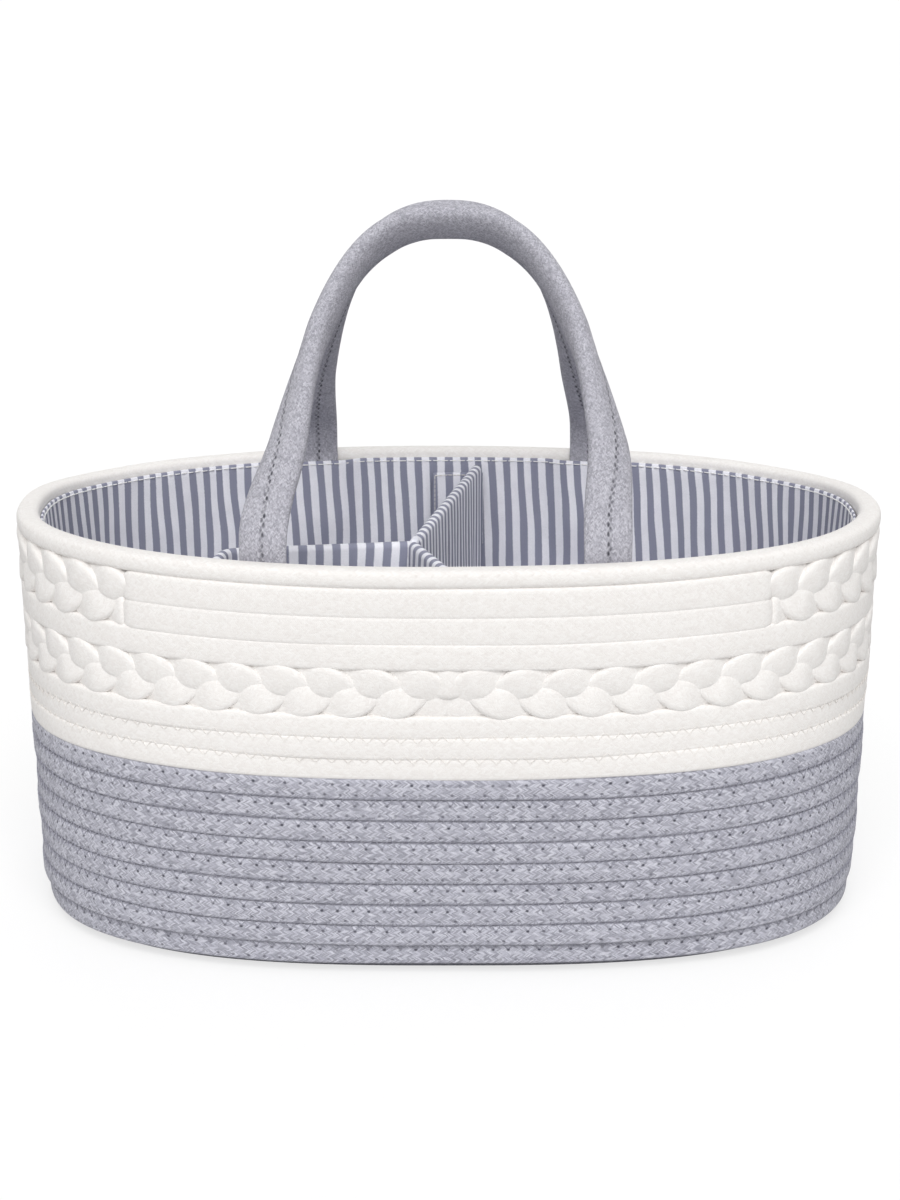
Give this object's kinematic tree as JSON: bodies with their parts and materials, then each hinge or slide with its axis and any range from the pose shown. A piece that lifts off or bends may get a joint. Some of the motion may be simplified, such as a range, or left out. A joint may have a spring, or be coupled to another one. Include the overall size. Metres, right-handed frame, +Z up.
{
  "type": "diaper caddy",
  "caption": "Oval rope basket with braided bands, striped lining, a padded divider that lifts out and two arched strap handles that fold outwards.",
  "frame": {"origin": "middle of the basket's footprint, on the floor", "axes": "+X along the basket's length, +Y from the front towards the back, +Z up"},
  "size_m": [0.3796, 0.2518, 0.305],
  "materials": {
    "cream_rope": "matt",
    "grey_rope": "matt",
    "strap_cotton": "matt",
    "striped_cotton": "matt",
    "foam": "matt",
    "touch_fastener": "matt"
  },
  "bodies": {
    "basket": {"base_coil": "grey_rope", "grey_wall_winding": "grey_rope", "white_wall_winding": "cream_rope", "lower_braid_strand_1": "cream_rope", "lower_braid_strand_2": "cream_rope", "lower_braid_strand_3": "cream_rope", "middle_course": "cream_rope", "upper_braid_strand_1": "cream_rope", "upper_braid_strand_2": "cream_rope", "upper_braid_strand_3": "cream_rope", "front_lower_course": "cream_rope", "front_upper_course": "cream_rope", "rim_course": "cream_rope", "front_left_foot": "strap_cotton", "front_right_foot": "strap_cotton", "rear_left_foot": "strap_cotton", "rear_right_foot": "strap_cotton", "lining_wall": "striped_cotton", "lining_floor": "striped_cotton", "back_loop_tape": "touch_fastener", "front_loop_tape": "touch_fastener", "side_loop_tape": "touch_fastener"},
    "divider": {"pocket_panel_cover": "striped_cotton", "pocket_panel_core": "foam", "cross_panel_cover": "striped_cotton", "cross_panel_core": "foam", "back_tab": "striped_cotton", "front_tab": "striped_cotton", "side_tab": "striped_cotton", "back_hook_tape": "touch_fastener", "front_hook_tape": "touch_fastener", "side_hook_tape": "touch_fastener"},
    "front_handle": {"front_handle_cover": "strap_cotton", "front_handle_filling": "foam"},
    "rear_handle": {"rear_handle_cover": "strap_cotton", "rear_handle_filling": "foam"}
  },
  "joints": [
    {"name": "front_handle_fold", "type": "hinge", "parent": "basket", "child": "front_handle", "pos_m": [0, -0.10633, 0.1845], "axis": [1, 0, 0], "range_deg": [0, 140]},
    {"name": "rear_handle_fold", "type": "hinge", "parent": "basket", "child": "rear_handle", "pos_m": [0, 0.10633, 0.1845], "axis": [-1, 0, 0], "range_deg": [0, 140]},
    {"name": "divider_lift", "type": "slide", "parent": "basket", "child": "divider", "axis": [0, 0, 1], "range_m": [0, 0.07]}
  ]
}
